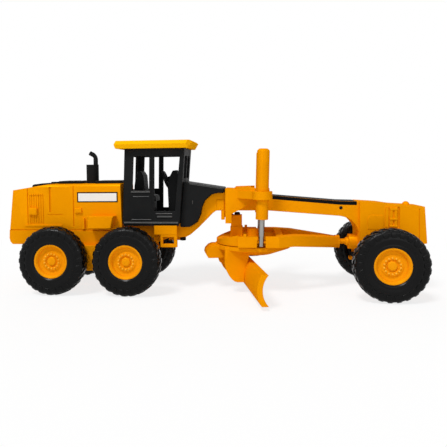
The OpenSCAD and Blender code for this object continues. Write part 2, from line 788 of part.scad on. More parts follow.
module tyre_front_left() { on_axle(front_axle_x, front_y, 1) tyre(); }
module tyre_front_right() { on_axle(front_axle_x, front_y, -1) tyre(); }
module tyre_mid_left() { on_axle(mid_x, rear_y, 1) tyre(); }
module tyre_mid_right() { on_axle(mid_x, rear_y, -1) tyre(); }
module tyre_rear_left() { on_axle(rear_x, rear_y, 1) tyre(); }
module tyre_rear_right() { on_axle(rear_x, rear_y, -1) tyre(); }
module rim_front_left() { on_axle(front_axle_x, front_y, 1) rim(); }
module rim_front_right() { on_axle(front_axle_x, front_y, -1) rim(); }
module rim_mid_left() { on_axle(mid_x, rear_y, 1) rim(); }
module rim_mid_right() { on_axle(mid_x, rear_y, -1) rim(); }
module rim_rear_left() { on_axle(rear_x, rear_y, 1) rim(); }
module rim_rear_right() { on_axle(rear_x, rear_y, -1) rim(); }

rear_frame();
rear_axle();
tandem_case_left();
tandem_case_right();
engine_hood();
hood_trim();
exhaust();
side_box_left();
side_box_right();
main_beam();
front_block();
front_axle();
cowl();
cab_shell();
cab_roof();
seat();
console();
steps_left();
steps_right();
saddle();
lift_barrel_left();
lift_barrel_right();
lift_rod_left();
lift_rod_right();
drawbar();
circle_rivet();
turn_circle();
blade();
knuckle_left();
knuckle_right();
tie_rod();
tyre_front_left();
tyre_front_right();
tyre_mid_left();
tyre_mid_right();
tyre_rear_left();
tyre_rear_right();
rim_front_left();
rim_front_right();
rim_mid_left();
rim_mid_right();
rim_rear_left();
rim_rear_right();
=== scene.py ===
"""Looks of a small die-cast motor grader: enamel castings, black plastic trim, soft tyres."""
import json
import math

import bpy
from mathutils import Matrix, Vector

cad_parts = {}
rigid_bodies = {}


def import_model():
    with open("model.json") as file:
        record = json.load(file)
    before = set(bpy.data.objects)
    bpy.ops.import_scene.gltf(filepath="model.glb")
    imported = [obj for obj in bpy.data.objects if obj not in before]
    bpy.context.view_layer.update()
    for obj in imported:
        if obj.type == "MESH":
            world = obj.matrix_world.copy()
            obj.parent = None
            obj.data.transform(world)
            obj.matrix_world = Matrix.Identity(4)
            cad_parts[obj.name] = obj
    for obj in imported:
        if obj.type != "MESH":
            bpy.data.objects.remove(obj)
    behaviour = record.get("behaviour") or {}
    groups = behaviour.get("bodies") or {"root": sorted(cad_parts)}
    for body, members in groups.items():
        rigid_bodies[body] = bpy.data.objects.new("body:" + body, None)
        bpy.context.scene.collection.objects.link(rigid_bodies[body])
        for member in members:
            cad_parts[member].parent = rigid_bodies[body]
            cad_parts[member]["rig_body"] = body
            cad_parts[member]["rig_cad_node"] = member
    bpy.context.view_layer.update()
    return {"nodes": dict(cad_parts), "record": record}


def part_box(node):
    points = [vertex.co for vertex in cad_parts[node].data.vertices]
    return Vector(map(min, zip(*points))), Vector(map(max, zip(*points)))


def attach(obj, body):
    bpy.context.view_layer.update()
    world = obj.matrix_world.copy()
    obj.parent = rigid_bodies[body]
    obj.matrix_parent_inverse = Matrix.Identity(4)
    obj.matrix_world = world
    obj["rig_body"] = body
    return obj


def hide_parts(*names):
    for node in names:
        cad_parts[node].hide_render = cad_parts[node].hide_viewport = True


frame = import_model()
MM = 0.001
SIDES = {"left": 1, "right": -1}
WHEELS = [(place, side) for place in ("front", "mid", "rear") for side in SIDES]
BODY_OF = {}
for body_name, members in frame["record"]["behaviour"]["bodies"].items():
    for member in members:
        BODY_OF[member] = body_name
SLOT_OF = {row["node"]: row["material_slot"] for row in frame["record"]["subparts"]}


def side_of(node):
    """How far out from the middle a solid reaches, in millimetres."""
    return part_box(node)[1].y / MM


# Side walls, out from the machine's middle; the last four solids have lumps, so their walls are given
BEAM_SIDE = side_of("main_beam")
COWL_SIDE = side_of("cowl")
CAB_SIDE = side_of("cab_shell")
HOOD_SIDE = 11.7
BOX_SIDE = 17.0
SADDLE_SIDE = 8.0
BLOCK_SIDE = 7.5


# Bench work: picking, settling and softening a piece


def put_down():
    """Leaves edit mode and selects nothing."""
    if bpy.context.object and bpy.context.object.mode != "OBJECT":
        bpy.ops.object.mode_set(mode="OBJECT")
    bpy.ops.object.select_all(action="DESELECT")


def pick(piece):
    put_down()
    piece.select_set(True)
    bpy.context.view_layer.objects.active = piece


def open_mesh(piece):
    """Edit mode with everything selected."""
    pick(piece)
    bpy.ops.object.mode_set(mode="EDIT")
    bpy.ops.mesh.select_all(action="SELECT")


def settle(piece):
    """Moves a piece's place, turn and size into its mesh."""
    pick(piece)
    bpy.ops.object.transform_apply(location=True, rotation=True, scale=True)


def apply_modifier(piece, kind, **settings):
    pick(piece)
    modifier = piece.modifiers.new(kind.lower(), kind)
    for key, value in settings.items():
        setattr(modifier, key, value)
    bpy.ops.object.modifier_apply(modifier=modifier.name)


def smooth(piece, angle=30):
    pick(piece)
    bpy.ops.object.shade_smooth_by_angle(angle=math.radians(angle))


def soften(piece, width, segments=2, angle=30):
    """Rounds the sharp edges as a mould or a coat of paint does."""
    smooth(piece, angle)
    apply_modifier(
        piece, "BEVEL", width=width * MM, segments=segments, limit_method="ANGLE",
        angle_limit=math.radians(angle), harden_normals=True, use_clamp_overlap=True,
    )


def close_up(piece):
    """Merges doubled points and turns the faces outwards."""
    open_mesh(piece)
    bpy.ops.mesh.remove_doubles(threshold=0.002 * MM)
    bpy.ops.mesh.normals_make_consistent(inside=False)
    put_down()


def copy_of(piece, name):
    pick(piece)
    bpy.ops.object.duplicate(linked=False)
    twin = bpy.context.object
    twin.name = name
    return twin


def joined(pieces, name):
    put_down()
    for piece in pieces:
        piece.select_set(True)
    bpy.context.view_layer.objects.active = pieces[0]
    if len(pieces) > 1:
        bpy.ops.object.join()
    whole = bpy.context.object
    whole.name = name
    return whole


def scrap(*pieces):
    """Deletes bench pieces that were only copied from."""
    put_down()
    for piece in pieces:
        piece.select_set(True)
    bpy.ops.object.delete()


def fit_on(piece, body, finish, slot, *nodes):
    """Hands a finished piece to its body, its finish and the solids it stands for."""
    piece.data.materials.clear()
    piece.data.materials.append(finish)
    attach(piece, body)
    if nodes:
        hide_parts(*nodes)


# Shapes made by hand


def bar(name, low, high, edge=0.12, segments=2):
    """A softened bar between two corners, in millimetres."""
    put_down()
    middle = (Vector(low) + Vector(high)) * 0.5 * MM
    size = (Vector(high) - Vector(low)) * MM
    bpy.ops.mesh.primitive_cube_add(size=1.0, location=middle, scale=size)
    piece = bpy.context.object
    piece.name = name
    settle(piece)
    soften(piece, edge, segments)
    return piece


def drawn_line(name, points, closed):
    """One vertex pulled along a line of points, in millimetres."""
    put_down()
    bpy.ops.mesh.primitive_plane_add(size=MM, location=(0.0, 0.0, 0.0))
    piece = bpy.context.object
    piece.name = name
    open_mesh(piece)
    bpy.ops.mesh.merge(type="CENTER")
    bpy.ops.mesh.select_mode(type="VERT")
    at = Vector(points[0]) * MM
    bpy.ops.transform.translate(value=at)
    for point in points[1:]:
        place = Vector(point) * MM
        bpy.ops.mesh.extrude_region_move(TRANSFORM_OT_translate={"value": place - at})
        at = place
    bpy.ops.mesh.select_all(action="SELECT")
    if closed:
        bpy.ops.mesh.edge_face_add()
    return piece


def plate(name, outline, thick, edge=0.08):
    """A flat outline pushed out by a thickness vector, with softened edges."""
    piece = drawn_line(name, outline, True)
    bpy.ops.mesh.extrude_region_move(TRANSFORM_OT_translate={"value": Vector(thick) * MM})
    put_down()
    close_up(piece)
    if edge > 0:
        soften(piece, edge)
    return piece


def turned_piece(name, profile, steps, angle):
    """A lathe piece about Y: the profile is a closed line of radius and place along the axle."""
    line = [(radius, along, 0.0) for radius, along in profile]
    piece = drawn_line(name, line + [line[0]], False)
    bpy.ops.mesh.spin(steps=steps, angle=math.tau, center=(0, 0, 0), axis=(0, 1, 0))
    put_down()
    close_up(piece)
    smooth(piece, angle)
    return piece


def arc(middle, radius, start, end, steps):
    """Points of an arc in the profile's plane, angles in degrees."""
    points = []
    for i in range(steps + 1):
        turn = math.radians(start + (end - start) * i / steps)
        points.append((middle[0] + radius * math.cos(turn), middle[1] + radius * math.sin(turn)))
    return points


def set_at(piece, place, turn=(0.0, 0.0, 0.0)):
    """Puts a bench-made piece where it belongs, in millimetres and degrees."""
    piece.location = Vector(place) * MM
    piece.rotation_euler = [math.radians(a) for a in turn]
    settle(piece)
    return piece


# Finishes


def new_finish(name):
    material = bpy.data.materials.new(name)
    material.use_nodes = True
    nodes = material.node_tree.nodes
    links = material.node_tree.links
    return material, nodes, links, nodes["Principled BSDF"]


def noise(nodes, links, scale, detail, stretch=None):
    """Noise on the piece's own place, in metres."""
    place = nodes.new("ShaderNodeTexCoord")
    texture = nodes.new("ShaderNodeTexNoise")
    texture.inputs["Scale"].default_value = scale
    texture.inputs["Detail"].default_value = detail
    if stretch:
        mapping = nodes.new("ShaderNodeMapping")
        mapping.inputs["Scale"].default_value = stretch
        links.new(place.outputs["Object"], mapping.inputs["Vector"])
        links.new(mapping.outputs["Vector"], texture.inputs["Vector"])
    else:
        links.new(place.outputs["Object"], texture.inputs["Vector"])
    return texture.outputs["Fac"]


def blend_colours(nodes, links, source, stops):
    """A colour ramp over a value; each stop is a place and a linear colour."""
    ramp = nodes.new("ShaderNodeValToRGB")
    marks = ramp.color_ramp.elements
    while len(marks) < len(stops):
        marks.new(0.5)
    for mark, (place, colour) in zip(marks, stops):
        mark.position = place
        mark.color = (*colour, 1.0)
    links.new(source, ramp.inputs["Fac"])
    return ramp.outputs["Color"]


def to_range(nodes, links, source, low, high, from_low=0.3, from_high=0.7):
    spread = nodes.new("ShaderNodeMapRange")
    spread.inputs["From Min"].default_value = from_low
    spread.inputs["From Max"].default_value = from_high
    spread.inputs["To Min"].default_value = low
    spread.inputs["To Max"].default_value = high
    links.new(source, spread.inputs["Value"])
    return spread.outputs["Result"]


def grain(nodes, links, shader, source, strength, depth):
    bump = nodes.new("ShaderNodeBump")
    bump.inputs["Strength"].default_value = strength
    bump.inputs["Distance"].default_value = depth * MM
    links.new(source, bump.inputs["Height"])
    links.new(bump.outputs["Normal"], shader.inputs["Normal"])


def enamel(name, deep, bright, rough, gloss):
    """Sprayed paint or dyed plastic: slow colour drift, cloudy sheen, faint orange peel."""
    material, nodes, links, shader = new_finish(name)
    drift = noise(nodes, links, scale=55.0, detail=4.0)
    colour = blend_colours(nodes, links, drift, [(0.32, deep), (0.68, bright)])
    links.new(colour, shader.inputs["Base Color"])
    cloud = noise(nodes, links, scale=220.0, detail=5.0)
    links.new(to_range(nodes, links, cloud, rough - 0.06, rough + 0.07), shader.inputs["Roughness"])
    shader.inputs["Metallic"].default_value = gloss
    shader.inputs["Specular IOR Level"].default_value = 0.0
    shader.inputs["Specular Tint"].default_value = (*bright, 1.0)
    peel = noise(nodes, links, scale=1900.0, detail=2.0)
    grain(nodes, links, shader, peel, strength=0.16, depth=0.02)
    return material


def dull_plastic(name, deep, bright, rough, gloss, pit_scale, pit_strength):
    """Moulded plastic or soft vinyl: fine grain and a cloudy sheen."""
    material, nodes, links, shader = new_finish(name)
    drift = noise(nodes, links, scale=90.0, detail=6.0)
    colour = blend_colours(nodes, links, drift, [(0.3, deep), (0.72, bright)])
    links.new(colour, shader.inputs["Base Color"])
    cloud = noise(nodes, links, scale=260.0, detail=4.0)
    links.new(to_range(nodes, links, cloud, rough - 0.08, rough + 0.1), shader.inputs["Roughness"])
    shader.inputs["Specular IOR Level"].default_value = gloss
    pits = noise(nodes, links, pit_scale, detail=3.0)
    grain(nodes, links, shader, pits, pit_strength, depth=0.03)
    return material


def drawn_steel(name):
    """Bright wire, drawn lengthwise."""
    material, nodes, links, shader = new_finish(name)
    streak = noise(nodes, links, scale=900.0, detail=4.0, stretch=(1.0, 1.0, 0.06))
    colour = blend_colours(nodes, links, streak, [(0.3, (0.2, 0.19, 0.18)), (0.7, (0.36, 0.35, 0.33))])
    links.new(colour, shader.inputs["Base Color"])
    shader.inputs["Metallic"].default_value = 1.0
    links.new(to_range(nodes, links, streak, 0.22, 0.42), shader.inputs["Roughness"])
    grain(nodes, links, shader, streak, strength=0.1, depth=0.01)
    return material


BODY_ENAMEL = enamel("body_enamel", (0.79, 0.275, 0.0006), (0.87, 0.315, 0.001), rough=0.34, gloss=0.1)
ROOF_YELLOW = enamel("roof_yellow", (0.93, 0.43, 0.0016), (0.97, 0.47, 0.003), rough=0.42, gloss=0.02)
RIM_ORANGE = enamel("rim_orange", (0.77, 0.27, 0.002), (0.84, 0.31, 0.004), rough=0.38, gloss=0.1)
# Paler orange for the wheel nuts: a painted highlight on their small domes.
NUT_HIGHLIGHT_ORANGE = enamel("nut_painted_highlight_orange", (0.86, 0.4, 0.02), (0.92, 0.46, 0.04), rough=0.32, gloss=0.15)
LABEL_WHITE = enamel("label_white", (0.80, 0.78, 0.72), (0.88, 0.86, 0.82), rough=0.4, gloss=0.0)
BLACK_PLASTIC = dull_plastic(
    "black_plastic", (0.008, 0.0084, 0.0086), (0.013, 0.0134, 0.0136),
    rough=0.55, gloss=0.05, pit_scale=1600.0, pit_strength=0.1,
)
# Pale grey black for the sills and the cowl's rib and edge line: a painted highlight where those edges catch
# the light.
HIGHLIGHT_GREY_BLACK = dull_plastic(
    "painted_highlight_black", (0.02, 0.0205, 0.02), (0.045, 0.045, 0.043),
    rough=0.3, gloss=0.4, pit_scale=1600.0, pit_strength=0.1,
)
TYRE_VINYL = dull_plastic(
    "tyre_vinyl", (0.0015, 0.0015, 0.0016), (0.003, 0.003, 0.003),
    rough=0.28, gloss=0.13, pit_scale=2100.0, pit_strength=0.22,
)
# Black for the printed labels and stripes, and also a painted shade on the grille sheet and the saddle's
# slot.
PRINT_AND_SHADE_BLACK = dull_plastic(
    "print_and_painted_shade_black", (0.003, 0.0035, 0.004), (0.006, 0.0065, 0.007),
    rough=0.6, gloss=0.03, pit_scale=1200.0, pit_strength=0.05,
)
WIRE_STEEL = drawn_steel("wire_steel")
FINISH = {
    "body_paint": BODY_ENAMEL, "roof_plastic": ROOF_YELLOW, "rim_plastic": RIM_ORANGE,
    "black_plastic": BLACK_PLASTIC, "tyre": TYRE_VINYL, "steel": WIRE_STEEL,
}


# Castings: the machine's own solids with their moulded edges


def casting(node, edge):
    """A copy of a solid with its flat faces made whole and its edges rounded."""
    piece = copy_of(frame["nodes"][node], node + "_casting")
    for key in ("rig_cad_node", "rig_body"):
        del piece[key]
    bpy.ops.object.parent_clear(type="CLEAR_KEEP_TRANSFORM")
    open_mesh(piece)
    bpy.ops.mesh.remove_doubles(threshold=0.001 * MM)
    bpy.ops.mesh.dissolve_limited(angle_limit=math.radians(0.6))
    bpy.ops.mesh.vert_connect_concave()
    put_down()
    soften(piece, edge)
    fit_on(piece, BODY_OF[node], FINISH[SLOT_OF[node]], SLOT_OF[node], node)


# Edge radius of each casting, in millimetres
CASTING_EDGES = {
    "rear_frame": 0.25, "rear_axle": 0.3, "tandem_case_left": 0.45, "tandem_case_right": 0.45,
    "engine_hood": 0.1, "hood_trim": 0.25, "side_box_left": 0.4, "side_box_right": 0.4,
    "main_beam": 0.3, "front_block": 0.15, "front_axle": 0.3, "cowl": 0.35, "cab_shell": 0.2,
    "cab_roof": 0.4, "seat": 0.6, "console": 0.2, "steps_left": 0.2, "steps_right": 0.2, "saddle": 0.2,
    "lift_barrel_left": 0.2, "lift_barrel_right": 0.2, "lift_rod_left": 0.15, "lift_rod_right": 0.15,
    "drawbar": 0.15, "circle_rivet": 0.2, "turn_circle": 0.2, "blade": 0.25, "knuckle_left": 0.15,
    "knuckle_right": 0.15, "tie_rod": 0.15, "exhaust": 0.15,
}


def make_castings():
    for node, edge in CASTING_EDGES.items():
        casting(node, edge)


# Wheels

RIM_R = 7.1
RIM_HALF = 3.2
LUGS = 25
LUG_HIGH = 1.0
LUG_WIDE = 1.85
LUG_EDGE = 0.26
WHEEL_BOLTS = 14
BOLT_RING = 3.1
DISC_FACE = 1.8


def tyre_carcass():
    """Bead, bead ring, bulged sidewall, round shoulder and crown."""
    half = [(RIM_R - 0.03, RIM_HALF), (7.45, 3.42), (7.6, 3.6), (8.0, 3.66), (8.2, 3.6), (8.35, 3.5)]
    half += [(8.9, 3.62), (9.5, 3.76), (10.1, 3.82), (10.8, 3.8), (10.95, 3.68), (11.6, 3.62)]
    half += arc((12.4, 2.2), 1.42, start=82, end=12, steps=6)
    profile = half + [(13.86, 0.0)] + [(r, -a) for r, a in reversed(half)]
    return turned_piece("tyre_carcass", profile, steps=96, angle=50)


def tyre_lug():
    """One bar of the tread, drawn out over the shoulder and down onto the sidewall."""
    put_down()
    # Radius, place along the axle, place round the tyre, and lean in degrees
    path = [(13.74, 0.1, -1.1, 0), (13.74, 1.5, -0.35, 3), (13.62, 2.4, 0.15, 16), (13.22, 3.0, 0.45, 42),
            (12.55, 3.32, 0.7, 70), (11.7, 3.38, 0.85, 86), (11.0, 3.4, 0.95, 90)]
    bpy.ops.mesh.primitive_plane_add(size=1.0, location=(0, 0, 0))
    piece = bpy.context.object
    piece.name = "tyre_lug"
    open_mesh(piece)
    bpy.ops.transform.resize(value=(LUG_HIGH * MM, LUG_WIDE * MM, 1.0))
    bpy.ops.transform.rotate(value=math.radians(90), orient_axis="X", center_override=(0, 0, 0))
    at = Vector(path[0][:3]) * MM
    bpy.ops.transform.translate(value=at)
    lean = 0.0
    for r, y, z, tilt in path[1:]:
        place = Vector((r, y, z)) * MM
        bpy.ops.mesh.extrude_region_move(TRANSFORM_OT_translate={"value": place - at})
        bpy.ops.transform.rotate(value=-math.radians(tilt - lean), orient_axis="Z", center_override=place)
        at = place
        lean = tilt
    put_down()
    close_up(piece)
    soften(piece, LUG_EDGE)
    return piece


def bench_tyre():
    parts = [tyre_carcass()]
    lug = tyre_lug()
    mirrored = copy_of(lug, "tyre_lug_far")
    mirrored.scale = (1.0, -1.0, 1.0)
    settle(mirrored)
    close_up(mirrored)
    for i in range(LUGS):
        for source, stagger in ((lug, 0.0), (mirrored, 0.5)):
            twin = copy_of(source, "tyre_lug_copy")
            parts.append(set_at(twin, (0, 0, 0), (0, (i + stagger) * 360.0 / LUGS, 0)))
    scrap(lug, mirrored)
    return joined(parts, "bench_tyre")


def wheel_bolt():
    """A small domed nut, standing out along Y."""
    profile = [(0.0, -0.15), (0.38, -0.15), (0.38, 0.3), (0.3, 0.48), (0.16, 0.57), (0.0, 0.58)]
    return turned_piece("wheel_bolt", profile, steps=10, angle=45)


def bench_rim():
    """Wide outer lip, step, dished disc and a low hub in a groove, from the hub outwards and back."""
    profile = [(0.0, 2.3), (1.2, 2.28), (1.55, 2.2), (1.75, 2.04), (1.86, 1.6), (1.96, 1.4), (2.16, 1.34)]
    profile += [(2.34, 1.42), (2.46, 1.7), (2.6, 1.8), (3.8, 1.82), (4.0, 1.76), (4.3, 1.5), (4.6, 1.42)]
    profile += [(5.3, 1.5), (5.55, 1.62), (5.7, 1.9), (5.86, 2.58), (6.0, 2.74), (6.14, 2.8), (6.22, 2.94)]
    profile += [(6.4, 3.12), (6.62, 3.2), (6.94, 3.2), (7.06, 3.12), (RIM_R, 2.9), (RIM_R, -2.9)]
    profile += [(7.06, -3.12), (6.94, -3.2), (6.1, -3.2), (6.0, -3.1), (6.0, 0.05), (2.6, 0.05), (2.6, -3.5)]
    profile += [(2.5, -3.6), (1.55, -3.6), (1.51, -3.5), (1.51, 1.18), (0.0, 1.18)]
    return turned_piece("bench_rim", profile, steps=72, angle=34)


def bench_nuts():
    """The ring of nuts on a wheel's disc."""
    parts = []
    bolt = wheel_bolt()
    for i in range(WHEEL_BOLTS):
        turn = (i + 0.5) * math.tau / WHEEL_BOLTS
        twin = copy_of(bolt, "wheel_bolt_copy")
        parts.append(set_at(twin, (BOLT_RING * math.cos(turn), DISC_FACE, BOLT_RING * math.sin(turn))))
    scrap(bolt)
    return joined(parts, "bench_nuts")


def wheel_middle(place, side):
    low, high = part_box("rim_%s_%s" % (place, side))
    tyre_low, tyre_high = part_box("tyre_%s_%s" % (place, side))
    middle = (tyre_low + tyre_high) * 0.5 / MM
    return (middle.x, middle.y, (low.z + high.z) * 0.5 / MM)


def make_wheels():
    tyre = bench_tyre()
    rim = bench_rim()
    nuts = bench_nuts()
    for place, side in WHEELS:
        turn = (0, 0, 0 if side == "left" else 180)
        wheel = "_%s_%s" % (place, side)
        for source, kind in ((tyre, "tyre"), (rim, "rim")):
            piece = set_at(copy_of(source, kind + wheel + "_moulded"), wheel_middle(place, side), turn)
            slot = SLOT_OF[kind + wheel]
            fit_on(piece, "wheel" + wheel, FINISH[slot], slot, kind + wheel)
        # The nuts take the paler orange, a painted highlight.
        ring = set_at(copy_of(nuts, "wheel_nuts" + wheel), wheel_middle(place, side), turn)
        fit_on(ring, "wheel" + wheel, NUT_HIGHLIGHT_ORANGE, "rim_plastic")
    scrap(tyre, rim, nuts)


# Small things on the body


def side_bar(name, sign, x, out, z, edge=0.12, segments=2):
    """A softened bar on one side of the machine, between two places out from its middle."""
    y = sorted(sign * place for place in out)
    return bar(name, (x[0], y[0], z[0]), (x[1], y[1], z[1]), edge, segments)


def make_labels():
    """A plain pale bar with a dark border on each side of the hood."""
    back, front = -57.4, -39.5
    low, high = 38.2, 42.6
    border_w = 0.5
    thick = 0.05
    face_lift = 0.03
    for side, sign in SIDES.items():
        y = sign * HOOD_SIDE
        outline = [(back, y, low), (front, y, low), (front, y, high), (back, y, high)]
        border = plate("hood_label_border_" + side, outline, (0, sign * thick, 0), edge=0)
        fit_on(border, "machine", PRINT_AND_SHADE_BLACK, "black_plastic")
        y = sign * (HOOD_SIDE + face_lift)
        x0, x1 = back + border_w, front - border_w
        z0, z1 = low + border_w, high - border_w
        outline = [(x0, y, z0), (x1, y, z0), (x1, y, z1), (x0, y, z1)]
        face = plate("hood_label_face_" + side, outline, (0, sign * thick, 0), edge=0)
        fit_on(face, "machine", LABEL_WHITE, "body_paint")


def make_beam_bands():
    """The dark band over the top of the beam and down the upper edge of its sides."""
    top = [(25.6, 40.45), (53.5, 38.0), (60.4, 37.8)]
    for side, sign in SIDES.items():
        y = sign * BEAM_SIDE
        upper = [(x, y, z - 0.05) for x, z in top]
        lower = [(x, y, z - 1.5) for x, z in reversed(top)]
        stripe = plate("beam_stripe_" + side, upper + lower, (0, sign * 0.04, 0), edge=0)
        fit_on(stripe, "machine", PRINT_AND_SHADE_BLACK, "black_plastic")
    half = BEAM_SIDE - 0.3
    outline = [(x, -half, z - 0.2) for x, z in top] + [(x, -half, z + 0.06) for x, z in reversed(top)]
    band = plate("beam_top_band", outline, (0, 2 * half, 0), edge=0)
    fit_on(band, "machine", PRINT_AND_SHADE_BLACK, "black_plastic")


# Each latch: rear and front X, how far it stands out, low and high Z, edge radius
HOOD_LATCHES = [((-79.3, -75.3), 1.0, (32.8, 36.0), 0.75), ((-58.5, -55.3), 0.8, (33.5, 35.8), 0.55)]


def make_hood_fittings():
    """Door latches, louvre heads and the side box's lid."""
    louvres = 6
    louvre_x = -78.9
    louvre_pitch = 6.3 / louvres
    head_out = (HOOD_SIDE - 0.2, HOOD_SIDE + 0.25)
    for side, sign in SIDES.items():
        latches = []
        for x, reach, z, edge in HOOD_LATCHES:
            out = (HOOD_SIDE - 0.3, HOOD_SIDE + reach)
            latches.append(side_bar("latch", sign, x, out, z, edge, segments=4))
        fit_on(joined(latches, "hood_latches_" + side), "machine", BODY_ENAMEL, "body_paint")
        heads = []
        for i in range(louvres):
            x = louvre_x + (i + 0.25) * louvre_pitch
            heads.append(side_bar("louvre_head", sign, (x, x + 0.55), head_out, (41.3, 41.9), edge=0.14))
        fit_on(joined(heads, "louvre_heads_" + side), "machine", BODY_ENAMEL, "body_paint")
        lid_out = (HOOD_SIDE - 0.1, BOX_SIDE)
        lid_at = ((-51.4, -40.2), lid_out, (32.0, 32.6))
        lid = side_bar("side_box_lid_" + side, sign, *lid_at, edge=0.2, segments=3)
        fit_on(lid, "machine", BODY_ENAMEL, "body_paint")


def make_rear_grille():
    """Level slats in the hood's rear wall over a black sheet, painted shade for the opening behind them."""
    slat_n = 8
    half = 9.6
    foot_x, foot_z = -88.0, 28.6
    head_x, head_z = -86.75, 40.6
    outline = [(foot_x, -half, foot_z), (foot_x, half, foot_z)]
    outline += [(head_x, half, head_z), (head_x, -half, head_z)]
    # The black sheet is painted shade for the recess behind the slats.
    shade_sheet = plate("rear_grille_shade_sheet", outline, (-0.04, 0, 0), edge=0)
    fit_on(shade_sheet, "machine", PRINT_AND_SHADE_BLACK, "black_plastic")
    slat_half = half - 0.2
    slats = []
    for i in range(slat_n):
        share = (i + 0.5) / slat_n
        x = foot_x + (head_x - foot_x) * share
        z = foot_z + (head_z - foot_z) * share
        slats.append(bar("grille_slat", (x - 0.22, -slat_half, z - 0.42), (x + 0.3, slat_half, z + 0.42)))
    fit_on(joined(slats, "rear_grille_slats"), "machine", BODY_ENAMEL, "body_paint")


def make_hinge_knuckles():
    """Knuckles on the ribs of the front block and a pin in the beam."""
    knuckle_out = (BLOCK_SIDE - 0.3, BLOCK_SIDE + 0.7)
    pin_root = BEAM_SIDE - 0.3
    pin_line = [(0.0, pin_root), (0.72, pin_root), (0.72, BEAM_SIDE + 0.05), (0.6, BEAM_SIDE + 0.12)]
    pin_line.append((0.0, BEAM_SIDE + 0.14))
    for side, sign in SIDES.items():
        parts = []
        for heights in ((27.4, 28.3), (30.2, 31.2), (34.2, 35.4)):
            knuckle_at = ((73.0, 76.1), knuckle_out, heights)
            parts.append(side_bar("knuckle", sign, *knuckle_at, edge=0.28, segments=3))
        fit_on(joined(parts, "block_hinge_" + side), "machine", BODY_ENAMEL, "body_paint")
        pin = turned_piece("beam_pin_" + side, [(r, sign * a) for r, a in pin_line], steps=16, angle=40)
        set_at(pin, (54.0, 0.0, 35.2))
        fit_on(pin, "machine", BLACK_PLASTIC, "black_plastic")


def make_neck_fittings():
    """Boss and peg beside the saddle, a black bar of painted shade for a slot in it, and a rib and an edge
    line on the cowl in the pale grey of painted highlight.
    """
    for side, sign in SIDES.items():
        boss_out = (BEAM_SIDE - 0.2, BEAM_SIDE + 0.5)
        boss = side_bar("boss", sign, (2.3, 5.6), boss_out, (34.3, 38.7), edge=0.25, segments=3)
        peg_out = (BEAM_SIDE - 1.0, BEAM_SIDE + 0.3)
        peg = side_bar("peg", sign, (4.2, 5.7), peg_out, (30.2, 34.6), edge=0.2)
        fit_on(joined([boss, peg], "neck_boss_" + side), "machine", BODY_ENAMEL, "body_paint")
        # The cowl's rib and its top-edge line take the pale grey of painted highlight.
        rib_out = (COWL_SIDE - 0.1, COWL_SIDE + 0.25)
        rib = side_bar("cowl_rib_" + side, sign, (-7.9, -7.5), rib_out, (37.1, 38.7), edge=0.1)
        fit_on(rib, "machine", HIGHLIGHT_GREY_BLACK, "black_plastic")
        y = sign * (COWL_SIDE - 0.1)
        line = [(-9.0, y, 45.55), (5.2, y, 43.3), (5.2, y, 43.65), (-9.0, y, 46.0)]
        edge = plate("cowl_edge_" + side, line, (0, sign * 0.22, 0), edge=0.06)
        fit_on(edge, "machine", HIGHLIGHT_GREY_BLACK, "black_plastic")
        # A thin black bar on the saddle's side: painted shade standing for a slot.
        slot_out = (SADDLE_SIDE - 0.2, SADDLE_SIDE + 0.03)
        slot_at = ((12.3, 13.9), slot_out, (40.7, 41.5))
        slot = side_bar("saddle_slot_shade_" + side, sign, *slot_at, edge=0.02, segments=1)
        fit_on(slot, "machine", PRINT_AND_SHADE_BLACK, "black_plastic")


def upright(name, profile, x, body):
    """A turned black stud or screw that stands in the machine's middle plane."""
    piece = turned_piece(name, profile, steps=24, angle=40)
    set_at(piece, (x, 0, 0), (90, 0, 0))
    fit_on(piece, body, BLACK_PLASTIC, "black_plastic")


def make_chassis_screw():
    """The screw with a round head under the neck."""
    profile = [(0.0, 20.4), (1.1, 20.4), (1.3, 20.6), (1.3, 22.0), (0.8, 22.1), (0.8, 26.0), (0.0, 26.0)]
    upright("chassis_screw", profile, -13.2, "machine")


def make_post_cap():
    """The dark stud in the drawbar's post and the collar round its foot."""
    profile = [(0.0, 30.6), (1.25, 30.6), (1.25, 32.5), (0.95, 32.95), (0.0, 33.0)]
    upright("post_stud", profile, 10.9, "drawbar")
    collar = bar("post_collar", (7.9, -2.5, 22.2), (13.2, 2.5, 26.9), edge=0.2)
    fit_on(collar, "drawbar", BODY_ENAMEL, "body_paint")


def ledge(back, front, z, out, high, sign):
    """A sill with a sloping top on the cab's side, between two X values at height z."""
    y = sign * (CAB_SIDE - 0.15)
    lip = y + sign * out
    outline = [(back, y, z), (back, lip, z), (back, lip, z + high * 0.45), (back, y, z + high)]
    return plate("ledge", outline, (front - back, 0, 0), edge=0.08)


# Each sill: rear X, front X, height, how far it stands out, how tall it is
CAB_SILLS = [
    (-33.7, -25.4, 42.2, 0.55, 0.9), (-32.9, -25.8, 40.4, 0.3, 0.5), (-23.1, -16.0, 33.1, 0.35, 0.6),
    (-22.5, -16.2, 31.7, 0.6, 0.9), (-33.5, -25.0, 30.6, 0.3, 0.5), (-36.9, -13.6, 29.1, 0.6, 0.95),
]


